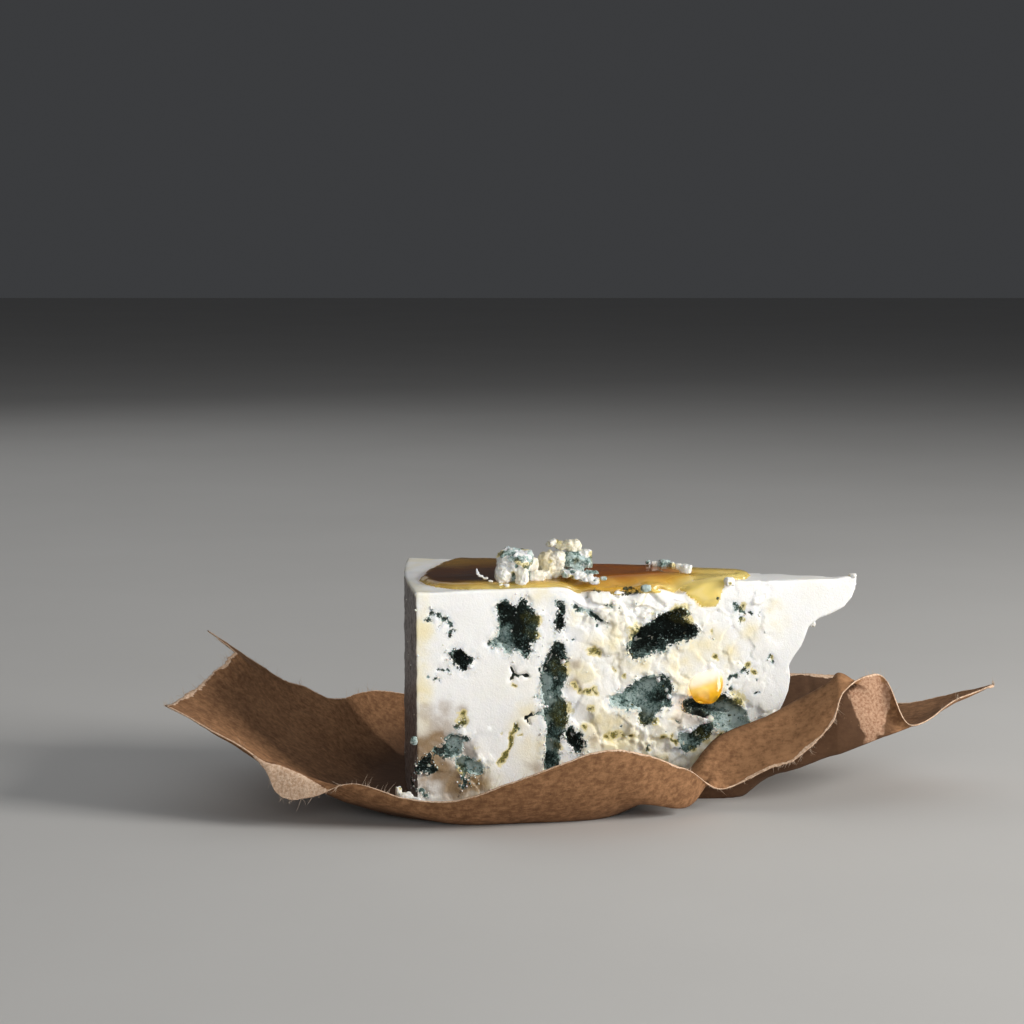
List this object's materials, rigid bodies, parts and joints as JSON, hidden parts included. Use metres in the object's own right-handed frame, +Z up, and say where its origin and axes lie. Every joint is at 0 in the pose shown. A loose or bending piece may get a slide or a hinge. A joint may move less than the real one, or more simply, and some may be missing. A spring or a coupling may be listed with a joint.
{
  "type": "blue cheese wedge on paper",
  "caption": "Wedge of blue-veined cheese with honey and loose crumbs on its top, lying on a torn, upturned sheet of brown wrapping paper.",
  "frame": {"origin": "on the table, at the middle of the rectangle that the sheet of paper covers", "axes": "+Z up, +X towards the point of the wedge, -Y towards the cut face that shows best"},
  "size_m": [0.1852, 0.0954, 0.0583],
  "materials": {
    "cheese": "moist, crumbly blue cheese paste",
    "crumb": "moist broken crumbs of the same cheese",
    "brown_paper": "matt, fibrous, with torn edges"
  },
  "bodies": {
    "root": {"cheese_wedge": "cheese", "paper_wrap": "brown_paper", "crumb_dome": "crumb", "crumb_cream": "crumb", "crumb_blue": "crumb", "crumb_top": "crumb", "crumb_slab": "crumb"}
  },
  "joints": []
}
